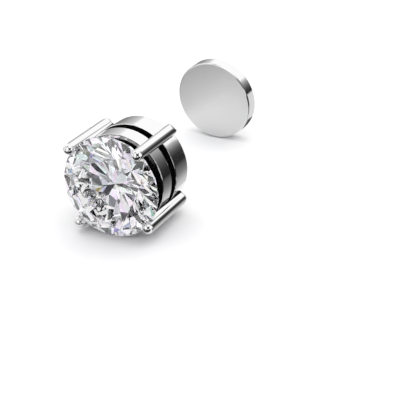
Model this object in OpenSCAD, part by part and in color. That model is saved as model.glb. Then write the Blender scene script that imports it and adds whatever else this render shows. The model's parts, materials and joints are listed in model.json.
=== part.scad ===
// Magnetic earring for an unpierced ear, in millimetres: a stud with a round
// brilliant stone in a four-prong setting, and the loose magnet disc that
// holds it from behind the ear lobe. The stud lies on its side, as it rests by
// itself on a table, and the disc stands on its rim behind it. +Z is up, the
// stone faces -Y, and the origin is below the middle of the whole.

/* [Stone] */
// Diameter of the stone over its girdle
stone_d = 8; // [6.5:0.1:9.5]
// Table of the stone, from corner to corner
table_d = 5.1; // [4:0.02:5.5]
// Slope of the eight crown mains
crown_angle = 32; // [29:0.5:38]
// Slope of the eight pavilion mains
pavilion_angle = 40.75; // [39:0.25:42.5]
// Thickness of the girdle where it is widest
girdle_t = 0.24; // [0.16:0.02:0.4]
// How far the star facets reach from the table to the girdle
star_reach = 0.5; // [0.4:0.05:0.65]
// How far the lower girdle facets reach from the girdle to the culet
lower_reach = 0.77; // [0.6:0.01:0.85]

/* [Bands] */
// Wall of the rear band round the magnet, at the slot
rear_wall = 0.65; // [0.5:0.05:0.9]
// Wall of the rear band at the back of the stud
back_wall = 0.51; // [0.3:0.01:0.65]
// Wall of the front band, and of the rear band's rim at the slot
rim_wall = 0.3; // [0.2:0.02:0.4]
// Depth of the recess inside the rear band's rim
rim_depth = 0.25; // [0.1:0.05:0.3]
// Width of the band behind the stone
front_band_w = 1.28; // [0.8:0.02:1.4]
// Width of the open slot between the bands
slot_w = 0.68; // [0.3:0.02:0.8]
// Width of the rear band, which holds the magnet
rear_band_w = 2.02; // [1.96:0.02:2.5]
// Rounding of the edges of the rims
rim_round = 0.06; // [0.02:0.01:0.09]
// Rounding of the outer edge at the back of the stud
back_round = 0.1; // [0.04:0.01:0.2]
// Room between the culet of the stone and the magnet
culet_gap = 0.28; // [0.1:0.02:0.6]

/* [Prongs] */
// Width of a prong, which is a round bar
prong_w = 0.92; // [0.7:0.02:1.1]
// How far the middle of a prong's tip lies outside the girdle
tip_out = 0.18; // [0.1:0.02:0.32]
// How far the middle of a prong's tip lies in front of the girdle
tip_front = 0.38; // [0.1:0.02:0.5]
// How far the middle of a prong's foot lies outside the band
foot_out = 0.32; // [0.2:0.02:0.44]
// Rounding of a prong's foot, which turns its outer side in to the band
foot_round = 0.9; // [0.5:0.05:1.2]
// How far a prong's foot ends short of the back of the stud
foot_short = 0.06; // [0.02:0.01:0.2]
// Step between a prong and the narrower web below it, on each side
web_step = 0.03; // [0.02:0.01:0.1]
// Clearance between the stone and the seat cut in the prongs
seat_gap = 0.02; // [0.01:0.005:0.05]

/* [Magnets] */
// Diameter of the magnet inside the stud
stud_magnet_d = 6; // [5:0.1:7]
// Thickness of the magnet inside the stud
stud_magnet_t = 1.5; // [1:0.05:1.6]
// Clearance between that magnet and the setting
magnet_gap = 0.03; // [0.02:0.01:0.08]
// Diameter of the hole in front of that magnet, where the culet ends
culet_hole_d = 4.4; // [2:0.1:4.8]
// Diameter of the loose back disc
disc_d = 6.1; // [4:0.1:8]
// Thickness of the loose back disc
disc_t = 1; // [0.6:0.05:2]
// Rounding of the edges of both magnets
magnet_round = 0.1; // [0.04:0.01:0.2]

/* [Placing] */
// Distance from the back of the stud to the disc, along the stud's axis
disc_behind = 10.4; // [4:0.1:20]
// How far the disc stands to the right of the stud's axis
disc_aside = 0; // [-2:0.02:2]

/* [Hidden] */
$fn = 64;

// Metal colours, and the pale tint of the stone
steel_colour = [0.78, 0.78, 0.79];
magnet_colour = [0.8, 0.8, 0.8];
stone_colour = [0.93, 0.94, 0.97];

// Straight pieces that make up each rounded edge, and the foot of a prong
round_steps = 5;
foot_steps = 9;
prong_count = 4;
main_count = 8;
// Flats of the girdle along the edge of each half facet
girdle_steps = 4;
main_turn = 360 / main_count;
half_turn = main_turn / 2;
quarter_turn = main_turn / 4;
// Rotation of the stone in its setting, which puts a flat of the girdle on the
// surface that the stud lies on
stone_turn = 35.8;
// How far a cutting shape passes the face that it cuts
pass = 1;
// How far the rounding of a prong's foot starts outside the bar
foot_ease = 0.01;
// Height of the lowest prong over the surface that the stud lies on
prong_lift = 0.03;

// Heights of the girdle's corners, and the stone's radii
stone_r = stone_d / 2;
table_r = table_d / 2;
girdle_top = girdle_t / 2;
girdle_low = -girdle_t / 2;
table_z = girdle_top + (stone_r - table_r) * tan(crown_angle);
culet_z = girdle_low - stone_r * tan(pavilion_angle);

// Points of the star facets, and the slope of the facets below them
table_flat = table_r * cos(half_turn);
star_r = table_flat + star_reach * (stone_r - table_flat);
star_z = girdle_top + rise(star_r, crown_angle);
crown_fall = (star_z - girdle_top) / (stone_r - star_r);

// Places along the stud's axis, where the girdle is zero and the stone is up
magnet_front_z = culet_z - culet_gap;
magnet_back_z = magnet_front_z - stud_magnet_t;
back_z = magnet_back_z - magnet_gap;
slot_back_z = back_z + rear_band_w;
slot_front_z = slot_back_z + slot_w;
band_front_z = slot_front_z + front_band_w;

// Radii of the bands, and of the prongs' middle line
hole_r = stud_magnet_d / 2 + magnet_gap;
band_r = hole_r + rear_wall;
back_r = hole_r + back_wall;
rim_r = band_r - rim_wall;
web_r = band_r - rim_wall / 2;

// Middle line of a prong, from where its foot starts to round up to its tip
prong_r = prong_w / 2;
tip_r = stone_r + tip_out;
foot_r = band_r + foot_out;
foot_low_z = back_z + foot_short;
foot_z = foot_low_z + foot_round;
foot_ball_z = foot_low_z + prong_r;
prong_length = norm([tip_r - foot_r, tip_front - foot_z]);
prong_lean = atan2(tip_r - foot_r, tip_front - foot_z);
foot_reach = (foot_z - foot_ball_z) / cos(prong_lean);

// The stud rests on the girdle and on the round edge at its back, which gives
// the lean of its axis
edge_r = back_r - back_round;
edge_z = back_z + back_round;
lie_tilt = atan2(stone_r - edge_r, girdle_low - edge_z)
         - asin(back_round / norm([stone_r - edge_r, girdle_low - edge_z]));
lie_height = stone_r * cos(lie_tilt) - girdle_low * sin(lie_tilt);

// It is rolled so far that a prong all but touches the surface: at its tip, or
// where the rounding or the ball of its foot ends its straight lower side
foot_turn = down_turn(foot_r, foot_z);
side_r = norm([foot_r + prong_r * cos(foot_turn), prong_r * sin(foot_turn)]);
side_cut = foot_r + prong_r + foot_ease - side_r;
touch_back = min(foot_round * sin(acos(1 - side_cut / foot_round)), foot_z - foot_ball_z);
touch_r = foot_r - touch_back * tan(prong_lean);
lie_roll = 45 - max(down_turn(tip_r, tip_front), down_turn(touch_r, foot_z - touch_back));

// The disc stands on its rim on the same surface, parallel to the stud's back
disc_r = disc_d / 2;
disc_front_z = back_z - disc_behind;
disc_back_z = disc_front_z - disc_t;
disc_edge_z = disc_back_z + magnet_round;
disc_edge_up = (magnet_round - lie_height - disc_edge_z * sin(lie_tilt)) / cos(lie_tilt);
disc_up = disc_r - magnet_round + disc_edge_up;
front_y = -table_z * cos(lie_tilt) - table_r * sin(lie_tilt);
rear_y = -disc_back_z * cos(lie_tilt) + (disc_up + disc_r - magnet_round) * sin(lie_tilt);
middle_y = (front_y + rear_y) / 2;

// Corner of a facet at a turn about the axis, a radius and a height
function corner(turn, r, z) = [r * cos(turn), r * sin(turn), z];

// Height over the girdle of a point between two mains, at a radius
function rise(r, slope) = (stone_r - r * cos(half_turn)) * tan(slope);

// Turn from straight down at which a prong all but touches the surface that the stud
// lies on, at a radius and a height of its middle line
function down_turn(r, z) =
    acos(min(1, (lie_height - prong_r - prong_lift + z * sin(lie_tilt)) / (r * cos(lie_tilt))));

// Points of a quarter circle that turn an outer corner into a round edge
function round_edge(r, z, radius, from, steps = round_steps) = [
    for (i = [0:steps])
        let (turn = from + 90 * i / steps)
        [r + radius * cos(turn), z + radius * sin(turn)]
];

// Solid turned disc between two heights, with a radius and a rounding at each
module turned_disc(low, low_r, low_round, high, high_r, high_round) {
    rotate_extrude()
        polygon(concat(
            [[0, low]],
            round_edge(low_r - low_round, low + low_round, low_round, -90),
            round_edge(high_r - high_round, high - high_round, high_round, 0),
            [[0, high]]
        ));
}

// Magnet disc with the same rounding on both edges
module magnet_disc(radius, low, high) {
    turned_disc(low, radius, magnet_round, high, radius, magnet_round);
}

// How much further out than its ends a facet's edge lies along the girdle
function bow(step) =
    cos((step % girdle_steps) * half_turn / girdle_steps - quarter_turn) / cos(quarter_turn) - 1;

// Cut stone: a table, stars, crown mains and halves, a girdle that waves where
// the halves cut it, and the halves and mains of the pavilion
module brilliant() {
    lower_r = stone_r * (1 - lower_reach);
    lower_z = girdle_low - rise(lower_r, pavilion_angle);
    lower_fall = (girdle_low - lower_z) / (stone_r - lower_r);
    n = main_count;
    last = n - 1;
    around = 2 * n * girdle_steps;
    step_turn = 360 / around;
    star_at = n;
    top_at = 2 * n;
    low_at = top_at + around;
    lower_at = low_at + around;
    culet_at = lower_at + n;
    points = concat(
        [for (i = [0:last]) corner(i * main_turn, table_r, table_z)],
        [for (i = [0:last]) corner(i * main_turn + half_turn, star_r, star_z)],
        [for (g = [0:around - 1])
            corner(g * step_turn, stone_r, girdle_top - stone_r * crown_fall * bow(g))],
        [for (g = [0:around - 1])
            corner(g * step_turn, stone_r, girdle_low + stone_r * lower_fall * bow(g))],
        [for (i = [0:last]) corner(i * main_turn + half_turn, lower_r, lower_z)],
        [[0, 0, culet_z]]
    );
    faces = concat(
        [[for (i = [last:-1:0]) i]],
        [for (i = [0:last]) [i, (i + 1) % n, star_at + i]],
        [for (i = [0:last])
            [i, star_at + i, top_at + 2 * i * girdle_steps, star_at + (i + last) % n]],
        [for (i = [0:2 * n - 1]) concat(
            [star_at + floor(i / 2)],
            [for (s = [girdle_steps:-1:0]) top_at + (i * girdle_steps + s) % around]
        )],
        [for (g = [0:around - 1]) let (next = (g + 1) % around)
            [top_at + g, top_at + next, low_at + next, low_at + g]],
        [for (i = [0:2 * n - 1]) concat(
            [lower_at + floor(i / 2)],
            [for (s = [0:girdle_steps]) low_at + (i * girdle_steps + s) % around]
        )],
        [for (i = [0:last])
            [culet_at, lower_at + (i + last) % n, low_at + 2 * i * girdle_steps, lower_at + i]]
    );
    polyhedron(points, faces);
}

// Room that the stone takes in the prongs, as a plain turned shape round it
module stone_seat() {
    seat_r = stone_r + seat_gap;
    rotate_extrude()
        polygon([
            [0, culet_z - seat_gap / cos(pavilion_angle)],
            [seat_r, girdle_low - seat_gap],
            [seat_r, girdle_top + seat_gap],
            [0, girdle_top + seat_gap + seat_r * crown_fall]
        ]);
}

// One prong at +X: a round bar with a ball at each end and a flat web inside,
// which leans in to its foot and is rounded off there
module prong() {
    intersection() {
        union() {
            translate([foot_r, 0, foot_z])
                rotate([0, prong_lean, 0]) {
                    translate([0, 0, -foot_reach]) {
                        sphere(d = prong_w);
                        cylinder(d = prong_w, h = foot_reach + prong_length);
                    }
                    translate([0, 0, prong_length])
                        sphere(d = prong_w);
                }
            web();
        }
        foot_shape();
    }
}

// Flat-sided web from the middle line of a prong inwards to both bands, with
// a round end at the foot
module web() {
    half_width = prong_r - web_step;
    low_z = foot_low_z - pass;
    foot_arc = round_edge(0, foot_ball_z, half_width, -90, foot_steps);
    intersection() {
        rotate([90, 0, 0])
            translate([0, 0, -prong_r])
                linear_extrude(prong_w)
                    polygon([
                        [web_r, low_z],
                        [foot_r + (low_z - foot_z) * tan(prong_lean), low_z],
                        [foot_r - foot_z * tan(prong_lean), 0],
                        [stone_r - rim_wall, 0],
                        [web_r, band_front_z]
                    ]);
        rotate([90, 0, 90])
            linear_extrude(tip_r + prong_r)
                polygon(concat(
                    foot_arc,
                    [[half_width, pass], [-half_width, pass]],
                    [for (i = [foot_steps:-1:1]) [-foot_arc[i][0], foot_arc[i][1]]]
                ));
    }
}

// Turned shape that a prong stays within: round at the foot, open above it
module foot_shape() {
    outer = foot_r + prong_r + foot_ease;
    top_z = tip_front + prong_r + pass;
    rotate_extrude()
        polygon(concat(
            [[0, foot_low_z]],
            round_edge(outer - foot_round, foot_z, foot_round, -90, foot_steps),
            [[tip_r + prong_r + pass, top_z], [0, top_z]]
        ));
}

module prongs() {
    difference() {
        for (i = [0:prong_count - 1])
            rotate([0, 0, 45 + 360 * i / prong_count])
                prong();
        stone_seat();
    }
}

module front_band() {
    difference() {
        turned_disc(slot_front_z, band_r, rim_round, band_front_z, band_r, rim_round);
        translate([0, 0, slot_front_z - pass])
            cylinder(r = rim_r, h = front_band_w + 2 * pass);
    }
}

// Rear band with the bore for the magnet, the ledge that the magnet rests
// against, and a thin rim at the slot
module rear_band() {
    difference() {
        turned_disc(back_z, back_r, back_round, slot_back_z, band_r, rim_round);
        translate([0, 0, back_z - pass])
            cylinder(r = hole_r, h = magnet_front_z + magnet_gap - back_z + pass);
        translate([0, 0, back_z])
            cylinder(d = culet_hole_d, h = rear_band_w + pass);
        translate([0, 0, slot_back_z - rim_depth])
            cylinder(r = rim_r, h = rim_depth + pass);
    }
}

// Turns the stud from stone up to lying on its side, resting on z = 0
module lie_down() {
    translate([0, -middle_y, lie_height])
        rotate([-lie_tilt, 0, 0])
            children();
}

module stud_place() {
    lie_down()
        rotate([0, -lie_roll, 0])
            rotate([90, 0, 0])
                children();
}

module setting() {
    color(steel_colour)
        stud_place() {
            front_band();
            rear_band();
            prongs();
        }
}

module stone() {
    color(stone_colour)
        stud_place()
            rotate([0, 0, stone_turn])
                brilliant();
}

module stud_magnet() {
    color(magnet_colour)
        stud_place()
            magnet_disc(stud_magnet_d / 2, magnet_back_z, magnet_front_z);
}

module back_disc() {
    color(magnet_colour)
        lie_down()
            translate([disc_aside, 0, disc_up])
                rotate([90, 0, 0])
                    magnet_disc(disc_r, disc_back_z, disc_front_z);
}

setting();
stone();
stud_magnet();
back_disc();
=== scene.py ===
"""Magnetic earring: finishes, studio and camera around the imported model, in metres.

The stud lies on its side with the stone to -Y, and the loose magnet disc stands behind it.
"""

import json
from math import cos, radians, sin

import bpy  # noqa: E402
from mathutils import Matrix, Vector  # noqa: E402

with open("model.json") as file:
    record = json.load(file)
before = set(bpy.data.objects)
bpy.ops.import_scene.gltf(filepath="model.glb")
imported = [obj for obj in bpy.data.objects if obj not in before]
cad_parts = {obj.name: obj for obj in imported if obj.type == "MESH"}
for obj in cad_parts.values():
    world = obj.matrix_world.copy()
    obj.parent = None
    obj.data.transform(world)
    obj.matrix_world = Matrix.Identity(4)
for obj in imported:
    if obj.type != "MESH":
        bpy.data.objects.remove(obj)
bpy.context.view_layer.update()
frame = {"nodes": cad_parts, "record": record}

MM = 0.001

# Directions in the studio are an azimuth and an elevation in degrees: azimuth 0 lies ahead of
# the stone, at -Y, and 90 to the right, at +X

# Camera: where the photo was taken from, and the point in the middle of its frame
CAMERA_AZIMUTH = 31.73
CAMERA_ELEVATION = 29.26
CAMERA_ROLL = -5.74
CAMERA_DISTANCE = 0.6
CAMERA_AIM = (5.93 * MM, -5.15 * MM, 2.54 * MM)
CAMERA_SENSOR = 36
CAMERA_LENS = 724.1
# It sees from its distance divided by this to its distance times this
CAMERA_CLIP = 20

# The middle of the stud's back, and the stud's axis, which points away from the stone
BACK = next(mount for mount in frame["record"]["mounts"] if mount["name"] == "stud_back")
BACK_MIDDLE = Vector(BACK["pos_m"])
BACK_AXIS = Vector(BACK["axis"])
# The setting is painted dark, as shade, within this radius and from this far ahead of its back,
# apart from what faces outwards by this share of the normal
INSIDE_RADIUS = 3.7 * MM
INSIDE_START = 0.12 * MM
INSIDE_EDGE = 0.02 * MM
INSIDE_OUTWARD = (0.3, 0.4)
# Brightness of the painted shade, in the setting and in the stud magnet's bore
PAINTED_SHADE_BRIGHTNESS = 0.01
INSIDE_ROUGHNESS = 0.6
# The painted shade is lifted from the upper part of the front rim's face: how far ahead of the back
# it begins, the radius of the painted dark shade line round it, and the height of the unit vector
# out from the stud's axis
FRONT_RIM = 3.9 * MM
RIM_LINE = 3.6 * MM
RIM_UPWARD = (0.45, 0.8)

# Finishes: brightness, roughness, and the scale and strength of the grain. The magnets' flat
# faces are where the normal lies along the axis, by the share NICKEL_FACE_EDGE.
GRAIN_RANGE = (0.3, 0.7)
GRAIN_DEPTH = 0.01 * MM
STEEL_BRIGHTNESS = 0.8
STEEL_ROUGHNESS = (0.04, 0.09)
STEEL_GRAIN = 2600.0
STEEL_BUMP = 0.02
NICKEL_RIM_BRIGHTNESS = 0.8
NICKEL_RIM_ROUGHNESS = 0.1
NICKEL_FACE_BRIGHTNESS = 0.65
NICKEL_FACE_ROUGHNESS = (0.2, 0.26)
NICKEL_FACE_EDGE = (0.97, 0.999)
NICKEL_GRAIN = 5200.0
NICKEL_BUMP = 0.01
STONE_IOR = 2.35
STONE_HAZE = (0.985, 1.0)
STONE_HAZE_GRAIN = 900.0
# Paths inside the stone are long
STONE_BOUNCES = 32

FLOOR_SIZE = 1.2
FLOOR_COLOUR = (0.82, 0.82, 0.82, 1)
FLOOR_ROUGHNESS = 0.9
FLOOR_LIGHT_HEIGHT = 0.5
FLOOR_LIGHT_SIZE = 1.0
FLOOR_LIGHT_POWER = 2.8

# Cards that only reflections show. Each starts at a corner and has two sides, in mm. Its glow
# is given along the second side, as (mm from the first side, brightness). A card with a fade
# turns white from that share of its first side to the end.
CARDS = {
    "flag_right": {
        "corner": (8.2, -5.0, 0.0),
        "along": (27.8, 75.0, 0.0),
        "rise": (0.0, 0.0, 28.0),
        "glow": (
            (0.0, 0.022), (2.0, 0.025), (3.7, 0.035), (5.7, 0.075), (7.8, 0.13),
            (10.0, 0.21), (12.8, 0.32), (18.0, 0.55), (24.0, 0.9), (28.0, 1.2),
        ),
    },
    "floor_right": {
        "corner": (3.4, -8.0, 0.02),
        "along": (0.0, 60.0, 0.0),
        "rise": (24.0, 0.0, 0.0),
        "glow": (
            (0.0, 0.75), (1.0, 0.62), (1.7, 0.46), (2.6, 0.3), (3.8, 0.195),
            (5.1, 0.15), (7.0, 0.09), (8.2, 0.055), (9.2, 0.03), (24.0, 0.03),
        ),
    },
    "flag_left": {
        "corner": (-12.5, 3.0, 0.0),
        "along": (-21.0, 62.0, 0.0),
        "rise": (0.0, 0.0, 34.0),
        "glow": (
            (0.0, 0.24), (3.0, 0.3), (7.3, 0.46), (12.5, 0.62), (18.3, 0.77),
            (25.0, 0.93), (34.0, 1.15),
        ),
        "fade": 0.7,
    },
    "floor_left": {
        "corner": (-12.5, 3.0, 0.01),
        "along": (-21.0, 62.0, 0.0),
        "rise": (7.0, 2.4, 0.0),
        "glow": ((0.0, 0.26), (5.0, 0.3), (6.2, 0.45), (7.4, 0.75)),
    },
    "floor_grey": {
        "corner": (-4.5, -12.0, 0.005),
        "along": (0.0, 72.0, 0.0),
        "rise": (-55.0, 0.0, 0.0),
        "glow": ((0.0, 0.95), (3.0, 0.75), (7.0, 0.5), (55.0, 0.42)),
    },
    "floor_disc": {
        "corner": (4.0, 6.2, 0.04),
        "along": (45.0, 59.0, 0.0),
        "rise": (-5.0, 6.5, 0.0),
        "glow": ((0.0, 0.5), (1.5, 0.85), (8.2, 0.85)),
    },
    "floor_ahead": {
        "corner": (-20.0, -10.5, 0.02),
        "along": (19.0, 0.0, 0.0),
        "rise": (0.0, -30.0, 0.0),
        "glow": ((0.0, 0.3), (1.0, 0.02), (4.5, 0.02), (6.5, 0.2), (24.0, 0.2), (30.0, 0.6)),
    },
    "floor_behind": {
        "corner": (-3.0, 9.15, 0.05),
        "along": (5.9, 0.0, 0.0),
        "rise": (0.0, 3.0, 0.0),
        "glow": ((0.0, 0.1), (2.0, 0.1), (3.0, 0.4)),
    },
    "wall_behind": {
        "corner": (-32.0, 62.0, 0.0),
        "along": (66.0, 0.0, 0.0),
        "rise": (0.0, 0.0, 16.0),
        "glow": ((0.0, 0.08), (9.0, 0.1), (16.0, 0.9)),
    },
    "floor_front": {
        "corner": (-1.0, -9.5, 0.03),
        "along": (40.0, 0.0, 0.0),
        "rise": (0.0, -30.0, 0.0),
        "glow": ((0.0, 0.3), (1.0, 0.02), (20.0, 0.03), (30.0, 0.6)),
    },
}
CARD_UNSEEN_BY = ("camera", "diffuse", "shadow", "transmission")
# Card round the lens: a dark four-pointed star on white. Each edge fades over a share of the
# core's radius, of an arm's reach or of its half width.
LENS_CARD_DISTANCE = 60 * MM
LENS_CARD_HALF = 70 * MM
LENS_CARD_TURN = 40
LENS_CARD_BRIGHTNESS = 1.3
STAR_BRIGHTNESS = 0.02
STAR_CORE = 19 * MM
STAR_CORE_EDGE = 0.4
STAR_REACH = 66 * MM
STAR_REACH_EDGE = 0.1
STAR_ARM = 12 * MM
STAR_ARM_EDGE = 0.3

# White room behind, a little brighter above than at the horizon
SKY_LEVEL = 1.05
SKY_TOP = 1.2
SKY_RISE = 0.35
# Room ahead, which gives the stone's facets their tones: dark and bright patches, faint tints
# and small spots, as (azimuth, elevation, radius, colour)
AHEAD_EDGE = 0.2
PATCH_SCALE = 5.0
PATCH_RANGE = (0.37, 0.57)
PATCH_BRIGHTNESS = (0.0, 1.15)
TINT_SCALE = 2.5
TINT_STRENGTH = 0.6
TINT_MIDDLE = (0.965, 0.985, 1.04)
SPOT_EDGE = 1.0
SPOTS = (
    (-52, -30, 15.0, (0.8, 0.8, 0.87)),
    (-95, 30, 25.0, (0.85, 0.83, 0.88)),
    (11.6, 2, 2.1, (0.36, 0.28, 0.06)),
    (17, 8, 2.5, (0.01, 0.01, 0.02)),
    (33, 20, 3.5, (0.2, 0.16, 0.55)),
    (27, 28, 4.0, (0.02, 0.02, 0.03)),
    (19, 37, 2.5, (0.5, 0.66, 0.86)),
    (35, 38, 3.0, (0.1, 0.12, 0.16)),
    (48, -20, 4.0, (0.1, 0.12, 0.17)),
    (18, 58, 7.0, (0.01, 0.01, 0.02)),
    (-37, -29, 4.0, (0.01, 0.01, 0.02)),
    (0, 8, 3.5, (0.3, 0.31, 0.35)),
    (15, 68, 2.5, (0.02, 0.03, 0.12)),
    (60, 64, 2.5, (0.3, 0.62, 0.5)),
    (66, 55, 5.0, (0.01, 0.01, 0.02)),
    (77, 21, 3.0, (0.6, 0.8, 0.82)),
    (-30, 20, 2.0, (0.55, 0.3, 0.34)),
    (-15, 45, 2.5, (0.85, 0.55, 0.4)),
)


def direction(azimuth, elevation):
    """Unit vector to a place in the studio, from the object."""
    a, e = radians(azimuth), radians(elevation)
    return Vector((sin(a) * cos(e), -cos(a) * cos(e), sin(e)))


def view_axes():
    """Level, upright and backward unit vectors of the photo's view, before its roll."""
    back = direction(CAMERA_AZIMUTH, CAMERA_ELEVATION)
    level = Vector((0, 0, 1)).cross(back).normalized()
    return level, back.cross(level), back


def turned_to(axes, position):
    """Placement with the given three axes, at a position."""
    return Matrix.Translation(position) @ Matrix(axes).transposed().to_4x4()


def add_camera():
    """Long lens at the photo's angle."""
    level, upright, back = view_axes()
    turn = radians(CAMERA_ROLL)
    right = level * cos(turn) + upright * sin(turn)
    data = bpy.data.cameras.new("photo_camera")
    data.sensor_width = CAMERA_SENSOR
    data.lens = CAMERA_LENS
    data.clip_start = CAMERA_DISTANCE / CAMERA_CLIP
    data.clip_end = CAMERA_DISTANCE * CAMERA_CLIP
    camera = bpy.data.objects.new("photo_camera", data)
    position = Vector(CAMERA_AIM) + back * CAMERA_DISTANCE
    camera.matrix_world = turned_to((right, back.cross(right), back), position)
    bpy.context.scene.collection.objects.link(camera)
    bpy.context.scene.camera = camera


class Nodes:
    """Short way to write a node tree."""

    def __init__(self, tree):
        self.tree = tree
        tree.nodes.clear()

    def add(self, kind, inputs=(), **settings):
        node = self.tree.nodes.new(kind)
        for key, value in settings.items():
            setattr(node, key, value)
        for key, value in dict(inputs).items():
            if isinstance(value, bpy.types.NodeSocket):
                self.tree.links.new(value, node.inputs[key])
            else:
                node.inputs[key].default_value = value
        return node

    def math(self, operation, a, b=0.0):
        return self.add("ShaderNodeMath", {0: a, 1: b}, operation=operation).outputs[0]

    def product(self, a, b):
        return self.math("MULTIPLY", a, b)

    def vector_math(self, operation, a, b=(0, 0, 0)):
        return self.add("ShaderNodeVectorMath", {0: a, 1: b}, operation=operation).outputs["Vector"]

    def dot(self, a, b):
        node = self.add("ShaderNodeVectorMath", {0: a, 1: b}, operation="DOT_PRODUCT")
        return node.outputs["Value"]

    def smooth(self, value, low, high, to_low=0.0, to_high=1.0):
        """Soft step between two values, which may run downwards."""
        node = self.add(
            "ShaderNodeMapRange",
            {"Value": value, "From Min": low, "From Max": high, "To Min": to_low, "To Max": to_high},
            interpolation_type="SMOOTHSTEP",
        )
        return node.outputs["Result"]

    def mix(self, factor, a, b):
        return self.add("ShaderNodeMix", {0: factor, 2: a, 3: b}, data_type="FLOAT").outputs[0]

    def mix_colour(self, factor, a, b):
        return self.add("ShaderNodeMix", {0: factor, 6: a, 7: b}, data_type="RGBA").outputs[2]

    def grey(self, value):
        return self.add("ShaderNodeCombineColor", {0: value, 1: value, 2: value}).outputs[0]

    def place(self):
        return self.add("ShaderNodeTexCoord").outputs["Object"]

    def noise(self, place, scale, detail, output=0):
        node = self.add("ShaderNodeTexNoise", {"Vector": place, "Scale": scale, "Detail": detail})
        return node.outputs[output]

    def close(self, shader, kind="ShaderNodeOutputMaterial"):
        self.tree.links.new(shader.outputs[0], self.add(kind).inputs["Surface"])


def build_studio():
    """Room round the studio, as a colour in each direction."""
    world = bpy.data.worlds.new("studio")
    bpy.context.scene.world = world
    world.use_nodes = True
    nodes = Nodes(world.node_tree)
    ray = nodes.add("ShaderNodeTexCoord").outputs["Generated"]
    height = nodes.add("ShaderNodeSeparateXYZ", {0: ray}).outputs["Z"]
    sky = nodes.grey(nodes.smooth(height, 0.0, SKY_RISE, SKY_LEVEL, SKY_TOP))
    cloud = nodes.noise(ray, PATCH_SCALE, detail=2.0)
    patch = nodes.smooth(cloud, *PATCH_RANGE, *PATCH_BRIGHTNESS)
    hue = nodes.noise(ray, TINT_SCALE, detail=1.0, output="Color")
    tint = nodes.vector_math("SUBTRACT", hue, (0.5, 0.5, 0.5))
    tint = nodes.vector_math("MULTIPLY", tint, (TINT_STRENGTH,) * 3)
    tint = nodes.vector_math("ADD", tint, TINT_MIDDLE)
    room = nodes.vector_math("MULTIPLY", tint, patch)
    for azimuth, elevation, radius, colour in SPOTS:
        near = nodes.dot(ray, direction(azimuth, elevation))
        spot = nodes.smooth(near, cos(radians(radius + SPOT_EDGE)), cos(radians(radius)))
        room = nodes.mix_colour(spot, room, colour + (1.0,))
    ahead = nodes.smooth(nodes.dot(ray, direction(0, 0)), 0.0, AHEAD_EDGE)
    light = nodes.mix_colour(ahead, sky, room)
    nodes.close(nodes.add("ShaderNodeBackground", {"Color": light}), "ShaderNodeOutputWorld")


def new_material(name):
    """Empty material, and the short way to fill it."""
    material = bpy.data.materials.new(name)
    material.use_nodes = True
    return material, Nodes(material.node_tree)


def stud_place(nodes):
    """How far a point lies ahead of the stud's back, and its distance from the stud's axis."""
    from_back = nodes.vector_math("SUBTRACT", nodes.place(), BACK_MIDDLE)
    ahead = nodes.dot(from_back, -BACK_AXIS)
    squared = nodes.math("SUBTRACT", nodes.dot(from_back, from_back), nodes.product(ahead, ahead))
    return ahead, nodes.math("SQRT", squared)


def way_out(nodes):
    """Unit vector from the stud's axis to a point."""
    from_back = nodes.vector_math("SUBTRACT", nodes.place(), BACK_MIDDLE)
    across = nodes.vector_math("CROSS_PRODUCT", BACK_AXIS, from_back)
    return nodes.vector_math("NORMALIZE", nodes.vector_math("CROSS_PRODUCT", across, BACK_AXIS))


def polished_steel():
    """Mirror-bright steel with very fine polishing lines, painted dark as shade and made rough
    within the setting.
    """
    material, nodes = new_material("polished_steel")
    grain = nodes.noise(nodes.place(), STEEL_GRAIN, detail=3.0)
    ahead, radius = stud_place(nodes)
    out = way_out(nodes)
    normal = nodes.add("ShaderNodeTexCoord").outputs["Normal"]
    # Painted shade: the setting's hollow middle past its back is painted dark and rough, apart from
    # outward faces
    within = nodes.smooth(radius, INSIDE_RADIUS, INSIDE_RADIUS + INSIDE_EDGE, 1.0, 0.0)
    past_back = nodes.smooth(ahead, INSIDE_START, INSIDE_START + INSIDE_EDGE)
    inward = nodes.smooth(nodes.dot(out, normal), *INSIDE_OUTWARD, 1.0, 0.0)
    # The upper front rim is spared from the painted shade, all but a painted dark shade line round
    # it
    at_rim = nodes.smooth(ahead, FRONT_RIM, FRONT_RIM + INSIDE_EDGE)
    in_line = nodes.smooth(radius, RIM_LINE - INSIDE_EDGE, RIM_LINE, 1.0, 0.0)
    upward = nodes.smooth(nodes.add("ShaderNodeSeparateXYZ", {0: out}).outputs["Z"], *RIM_UPWARD)
    shade_free_rim = nodes.product(nodes.product(at_rim, in_line), upward)
    painted_shade = nodes.product(nodes.product(within, past_back), inward)
    painted_shade = nodes.product(painted_shade, nodes.math("SUBTRACT", 1.0, shade_free_rim))
    rough = nodes.smooth(grain, *GRAIN_RANGE, *STEEL_ROUGHNESS)
    bump = nodes.add(
        "ShaderNodeBump", {"Height": grain, "Strength": STEEL_BUMP, "Distance": GRAIN_DEPTH}
    )
    shader = nodes.add(
        "ShaderNodeBsdfPrincipled",
        {
            "Base Color": nodes.grey(nodes.mix(painted_shade, STEEL_BRIGHTNESS, PAINTED_SHADE_BRIGHTNESS)),
            "Metallic": 1.0,
            "Roughness": nodes.mix(painted_shade, rough, INSIDE_ROUGHNESS),
            "Normal": bump.outputs[0],
        },
    )
    nodes.close(shader)
    return material


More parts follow.
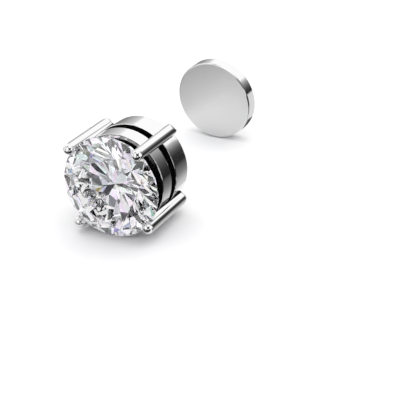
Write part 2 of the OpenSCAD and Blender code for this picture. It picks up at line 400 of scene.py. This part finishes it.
def satin_nickel(name, bore_shade=False):
    """Plated magnet: satin flat faces with a fine even grain, and a polished rim.

    A magnet in the stud is painted dark, as shade, where it lies in its bore.
    """
    material, nodes = new_material(name)
    normal = nodes.add("ShaderNodeTexCoord").outputs["Normal"]
    facing = nodes.math("ABSOLUTE", nodes.dot(normal, BACK_AXIS))
    face = nodes.smooth(facing, *NICKEL_FACE_EDGE)
    grain = nodes.noise(nodes.place(), NICKEL_GRAIN, detail=2.0)
    face_rough = nodes.smooth(grain, *GRAIN_RANGE, *NICKEL_FACE_ROUGHNESS)
    rough = nodes.mix(face, NICKEL_RIM_ROUGHNESS, face_rough)
    bright = nodes.mix(face, NICKEL_RIM_BRIGHTNESS, NICKEL_FACE_BRIGHTNESS)
    bump = nodes.add(
        "ShaderNodeBump", {"Height": grain, "Strength": NICKEL_BUMP, "Distance": GRAIN_DEPTH}
    )
    # Painted shade: the magnet is painted dark and rough where it sits in the stud's bore
    if bore_shade:
        painted_shade = nodes.smooth(stud_place(nodes)[0], INSIDE_START, INSIDE_START + INSIDE_EDGE)
        bright = nodes.mix(painted_shade, bright, PAINTED_SHADE_BRIGHTNESS)
        rough = nodes.mix(painted_shade, rough, INSIDE_ROUGHNESS)
    shader = nodes.add(
        "ShaderNodeBsdfPrincipled",
        {
            "Base Color": nodes.grey(bright),
            "Metallic": 1.0,
            "Roughness": rough,
            "Normal": bump.outputs[0],
        },
    )
    nodes.close(shader)
    return material


def cut_stone():
    """Clear cubic zirconia, with a trace of polishing haze."""
    material, nodes = new_material("cut_stone")
    haze = nodes.noise(nodes.place(), STONE_HAZE_GRAIN, detail=2.0)
    shader = nodes.add(
        "ShaderNodeBsdfPrincipled",
        {
            "Base Color": nodes.grey(nodes.smooth(haze, *GRAIN_RANGE, *STONE_HAZE)),
            "Roughness": 0.0,
            "IOR": STONE_IOR,
            "Transmission Weight": 1.0,
        },
    )
    nodes.close(shader)
    return material


def pale_floor():
    """Plain white card."""
    material, nodes = new_material("pale_floor")
    inputs = {"Base Color": FLOOR_COLOUR, "Roughness": FLOOR_ROUGHNESS}
    nodes.close(nodes.add("ShaderNodeBsdfPrincipled", inputs))
    return material


def card_finish(name, start, along, rise, glow, fade):
    """Glow that changes along the card's second side, and fades to white at the far end."""
    material, nodes = new_material(name)
    from_corner = nodes.vector_math("SUBTRACT", nodes.place(), start)
    share = nodes.dot(from_corner, rise / rise.length_squared)
    ramp = nodes.add("ShaderNodeValToRGB", {"Fac": share})
    colour = ramp.outputs[0]
    peak = max(bright for _, bright in glow)
    stops = ramp.color_ramp.elements
    while len(stops) < len(glow):
        stops.new(0.5)
    for stop, (distance, bright) in zip(stops, glow):
        stop.position = distance * MM / rise.length
        stop.color = (bright / peak,) * 3 + (1,)
    if fade < 1:
        far = nodes.dot(from_corner, along / along.length_squared)
        colour = nodes.mix_colour(nodes.smooth(far, fade, 1.0), colour, (1, 1, 1, 1))
    nodes.close(nodes.add("ShaderNodeEmission", {"Color": colour, "Strength": peak}))
    return material


def star_finish(name):
    """Dark four-pointed star on a bright card, in the card's own plane."""
    material, nodes = new_material(name)
    split = nodes.add("ShaderNodeSeparateXYZ", {0: nodes.place()})
    across, up = (nodes.math("ABSOLUTE", split.outputs[axis]) for axis in ("X", "Y"))
    squared = nodes.math("ADD", nodes.product(across, across), nodes.product(up, up))
    far = nodes.math("SQRT", squared)
    in_core = nodes.smooth(far, STAR_CORE, STAR_CORE * (1 - STAR_CORE_EDGE))
    half_width = nodes.smooth(far, STAR_REACH, STAR_CORE, 0.0, STAR_ARM)
    past_edge = nodes.math("SUBTRACT", nodes.math("MINIMUM", across, up), half_width)
    in_arm = nodes.product(
        nodes.smooth(past_edge, 0.0, -STAR_ARM_EDGE * STAR_ARM),
        nodes.smooth(far, STAR_REACH, STAR_REACH * (1 - STAR_REACH_EDGE)),
    )
    glow = nodes.mix(nodes.math("MAXIMUM", in_core, in_arm), LENS_CARD_BRIGHTNESS, STAR_BRIGHTNESS)
    nodes.close(nodes.add("ShaderNodeEmission", {"Color": (1, 1, 1, 1), "Strength": glow}))
    return material


def square(half):
    """Corners of a level square round the origin."""
    return [(-half, -half, 0), (half, -half, 0), (half, half, 0), (-half, half, 0)]


def add_sheet(name, corners, material, unseen_by, placement=None):
    """Flat part of the studio."""
    mesh = bpy.data.meshes.new(name)
    mesh.from_pydata(corners, [], [(0, 1, 2, 3)])
    mesh.materials.append(material)
    sheet = bpy.data.objects.new(name, mesh)
    sheet.matrix_world = placement or Matrix()
    bpy.context.scene.collection.objects.link(sheet)
    for kind in unseen_by:
        setattr(sheet, "visible_" + kind, False)


def add_floor():
    add_sheet("floor", square(FLOOR_SIZE / 2), pale_floor(), ("transmission",))


def add_card(name, corner, along, rise, glow, fade=1.0):
    """Card that only reflections show."""
    start, along, rise = (Vector(side) * MM for side in (corner, along, rise))
    corners = [start, start + along, start + along + rise, start + rise]
    add_sheet(name, corners, card_finish(name, start, along, rise, glow, fade), CARD_UNSEEN_BY)


def add_star_card():
    """Card round the lens, square to the camera's view."""
    name = "lens_card"
    axes = view_axes()
    turn = Matrix.Rotation(radians(LENS_CARD_TURN), 4, "Z")
    placement = turned_to(axes, axes[2] * LENS_CARD_DISTANCE) @ turn
    add_sheet(name, square(LENS_CARD_HALF), star_finish(name), CARD_UNSEEN_BY, placement)


def add_floor_light():
    """Wide soft light straight above, which no reflection shows."""
    data = bpy.data.lights.new("floor_light", "AREA")
    data.shape = "SQUARE"
    data.size = FLOOR_LIGHT_SIZE
    data.energy = FLOOR_LIGHT_POWER
    light = bpy.data.objects.new("floor_light", data)
    light.location = (0, 0, FLOOR_LIGHT_HEIGHT)
    bpy.context.scene.collection.objects.link(light)
    light.visible_camera = light.visible_glossy = light.visible_transmission = False


def finish_node(node, material):
    """Gives a node of the model its finish."""
    piece = frame["nodes"][node]
    piece.data.materials.clear()
    piece.data.materials.append(material)


add_camera()
build_studio()
add_floor()
for name, facts in CARDS.items():
    add_card(name, **facts)
add_star_card()
add_floor_light()
finish_node("setting", polished_steel())
finish_node("stone", cut_stone())
finish_node("stud_magnet", satin_nickel("stud_magnet_nickel", bore_shade=True))
finish_node("back_disc", satin_nickel("satin_nickel"))

bpy.context.scene.view_settings.view_transform = "Standard"
rays = bpy.context.scene.cycles
rays.max_bounces = rays.glossy_bounces = rays.transmission_bounces = STONE_BOUNCES
